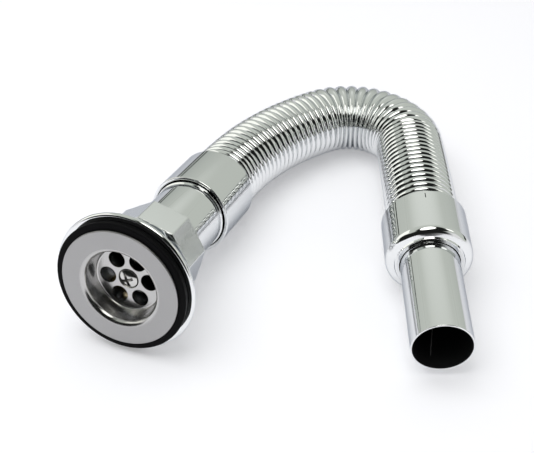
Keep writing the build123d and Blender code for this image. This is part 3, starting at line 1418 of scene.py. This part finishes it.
@dataclass(frozen=True)
class Card:
    """Plain board of the studio that shows in the chrome, in metres."""

    name: str
    centre: tuple[float, float, float]
    size: tuple[float, float]
    shade: Colour
    soft_from: float = 1.0
    soft_to: float = 1.1
    facing: Facing = Facing.PART

    def build(self) -> None:
        """Hangs the board, seen by reflections only."""
        bpy.ops.object.select_all(action="DESELECT")
        target = -UP if self.facing is Facing.DOWN else -Vector(self.centre)
        turn = target.to_track_quat("Z", "Y").to_euler()
        bpy.ops.mesh.primitive_plane_add(size=1, location=self.centre, rotation=turn)
        board = bpy.context.object
        board.name = self.name
        board.scale = (*self.size, 1)
        material = bpy.data.materials.new(self.name)
        material.use_nodes = True
        nodes = NodeTree(material.node_tree)
        glow = nodes.add("ShaderNodeEmission")
        place = nodes.add("ShaderNodeTexCoord")
        distance = nodes.add("ShaderNodeVectorMath", operation="LENGTH")
        fade = nodes.add("ShaderNodeMapRange", interpolation_type="SMOOTHSTEP")
        fade.inputs["From Min"].default_value = self.soft_from
        fade.inputs["From Max"].default_value = self.soft_to
        glow.inputs["Color"].default_value = self.shade
        clear = nodes.add("ShaderNodeBsdfTransparent")
        mix = nodes.add("ShaderNodeMixShader")
        nodes.link(place.outputs["Object"], distance.inputs[0])
        nodes.link(distance.outputs["Value"], fade.inputs["Value"])
        nodes.link(fade.outputs["Result"], mix.inputs["Fac"])
        nodes.link(glow.outputs["Emission"], mix.inputs[1])
        nodes.link(clear.outputs["BSDF"], mix.inputs[2])
        output = material.node_tree.nodes["Material Output"]
        nodes.link(mix.outputs["Shader"], output.inputs["Surface"])
        board.data.materials.append(material)
        board.visible_camera = False
        board.visible_diffuse = False
        board.visible_shadow = False
        board.visible_transmission = False


@dataclass
class Studio:
    """Pale floor, soft light and the photograph's camera, in metres."""

    face: Matrix
    camera_offset: tuple[float, float, float] = (0.2215, -0.3523, 0.3600)
    view: tuple[float, float, float] = (-0.2949, 0.7300, -0.6165)
    sensor: float = 36.0
    lens: float = 74.16
    floor_size: float = 6.0
    floor_colour: Colour = (0.85, 0.855, 0.88, 1)
    floor_lift: float = 0.2
    soft_light: float = 0.55
    lamp_place: tuple[float, float, float] = (-0.3, -0.2, 1.2)
    lamp_size: float = 1.2
    lamp_power: float = 9.0

    def build(self) -> None:
        """Builds the studio."""
        bpy.context.scene.view_settings.view_transform = "Standard"
        self.floor()
        self.world()
        self.lamps()
        self.cards()
        self.camera()

    def floor(self) -> None:
        """Lays a pale floor that shows white and keeps the shadow."""
        bpy.ops.object.select_all(action="DESELECT")
        bpy.ops.mesh.primitive_plane_add(size=self.floor_size)
        floor = bpy.context.object
        floor.name = "studio_floor"
        material = bpy.data.materials.new("studio_floor")
        material.use_nodes = True
        nodes = NodeTree(material.node_tree)
        paper = material.node_tree.nodes["Principled BSDF"]
        paper.inputs["Base Color"].default_value = self.floor_colour
        paper.inputs["Roughness"].default_value = 1.0
        paper.inputs["Specular IOR Level"].default_value = 0.0
        paper.inputs["Emission Color"].default_value = (1, 1, 1, 1)
        paths = nodes.add("ShaderNodeLightPath")
        lift = nodes.add("ShaderNodeMath", operation="MULTIPLY")
        lift.inputs[1].default_value = self.floor_lift
        nodes.link(self.seen(nodes, paths), lift.inputs[0])
        nodes.link(lift.outputs[0], paper.inputs["Emission Strength"])
        floor.data.materials.append(material)

    @staticmethod
    def seen(nodes: NodeTree, paths: bpy.types.Node) -> bpy.types.NodeSocket:
        """Mask of the rays that show a surface, directly or in metal or glass.

        Args:
            nodes: Writer of the tree.
            paths: The tree's Light Path node.

        Returns:
            The socket with the mask.
        """
        first = nodes.add("ShaderNodeMath", operation="MAXIMUM")
        second = nodes.add("ShaderNodeMath", operation="MAXIMUM")
        nodes.link(paths.outputs["Is Camera Ray"], first.inputs[0])
        nodes.link(paths.outputs["Is Glossy Ray"], first.inputs[1])
        nodes.link(first.outputs[0], second.inputs[0])
        nodes.link(paths.outputs["Is Transmission Ray"], second.inputs[1])
        return second.outputs[0]

    def world(self) -> None:
        """Sets a white background and soft light from all round."""
        world = bpy.data.worlds.new("studio")
        bpy.context.scene.world = world
        world.use_nodes = True
        nodes = NodeTree(world.node_tree)
        light = world.node_tree.nodes["Background"]
        light.inputs["Color"].default_value = (1, 1, 1, 1)
        light.inputs["Strength"].default_value = self.soft_light
        white = nodes.add("ShaderNodeBackground")
        paths = nodes.add("ShaderNodeLightPath")
        mix = nodes.add("ShaderNodeMixShader")
        nodes.link(self.seen(nodes, paths), mix.inputs["Fac"])
        nodes.link(light.outputs["Background"], mix.inputs[1])
        nodes.link(white.outputs["Background"], mix.inputs[2])
        output = world.node_tree.nodes["World Output"]
        nodes.link(mix.outputs["Shader"], output.inputs["Surface"])

    def lamps(self) -> None:
        """Hangs one wide soft lamp over the part."""
        bpy.ops.object.light_add(type="AREA", location=self.lamp_place)
        lamp = bpy.context.object
        lamp.name = "soft_lamp"
        lamp.data.size = self.lamp_size
        lamp.data.energy = self.lamp_power
        lamp.visible_glossy = False
        aim = -lamp.location
        lamp.rotation_euler = aim.to_track_quat("-Z", "Y").to_euler()

    def cards(self) -> None:
        """Hangs the boards that the chrome reflects."""
        dark = (0.012, 0.013, 0.012, 1)
        ceiling = (0.555, 0.585, 0.535, 1)
        pale = (0.74, 0.77, 0.72, 1)
        window = (1.15, 1.16, 1.08, 1)
        white = (1.5, 1.5, 1.42, 1)
        bright = (2.6, 2.6, 2.45, 1)
        down = Facing.DOWN
        boards = (
            Card("ceiling_board", (0, 0, 0.75), (3.2, 3.2), ceiling, 0.45, 0.5, down),
            Card("far_wall", (0, 1.5, 0.5), (3.4, 0.9), ceiling),
            Card("left_wall", (-1.3, 1.0, 0.5), (1.2, 0.9), ceiling),
            Card("left_window", (-0.8, -0.2, 0.55), (1.1, 0.9), window, 0.4, 0.5),
            Card("left_shade", (-0.45, -0.65, 0.28), (0.8, 0.66), dark, 0.4, 0.5),
            Card("pale_band", (-0.3, 0.8, 0.72), (1.5, 1.3), pale, 0.05, 0.5, down),
            Card("viewer_board", (0.15, -0.75, 0.34), (2.2, 1.1), dark, 0.3, 0.5),
            Card("viewer_shade", (0.35, -0.42, 0.7), (1.3, 1.2), dark, 0.38, 0.5, down),
            Card("lamp_board", (0.1, -0.25, 0.66), (0.44, 0.58), bright, 0.38, 0.5, down),
            Card("right_lamp", (0.56, 0.09, 0.53), (0.2, 0.3), white, 0.35, 0.5),
            Card("right_wall", (1.3, 0.7, 0.42), (1.7, 0.84), ceiling),
            Card("right_strip", (0.7, 0.5, 0.09), (0.5, 0.1), dark),
            Card("left_low_strip", (-0.69, 0.4, 0.05), (0.8, 0.035), dark),
            Card("left_high_strip", (-0.69, 0.4, 0.13), (0.8, 0.03), dark),
        )
        for board in boards:
            board.build()

    def camera(self) -> None:
        """Places the camera at the photograph's angle."""
        data = bpy.data.cameras.new("photo_camera")
        data.sensor_fit = "HORIZONTAL"
        data.sensor_width = self.sensor
        data.lens = self.lens
        camera = bpy.data.objects.new("photo_camera", data)
        bpy.context.scene.collection.objects.link(camera)
        camera.location = self.face.translation + Vector(self.camera_offset)
        camera.rotation_euler = Vector(self.view).to_track_quat("-Z", "Y").to_euler()
        bpy.context.scene.camera = camera


def main() -> None:
    """Builds the pieces in order, then the studio."""
    logging.basicConfig(level=logging.INFO, format="%(name)s: %(message)s")
    waste = WasteAssembly()
    waste.build()
    CouplingNut().build()
    CorrugatedPipe(PipePath()).build()
    OutletAssembly().build()
    for ring in INNER_RINGS:
        ring.dress()
    Studio(waste.frame_to_row).build()


if __name__ == "__main__":
    main()
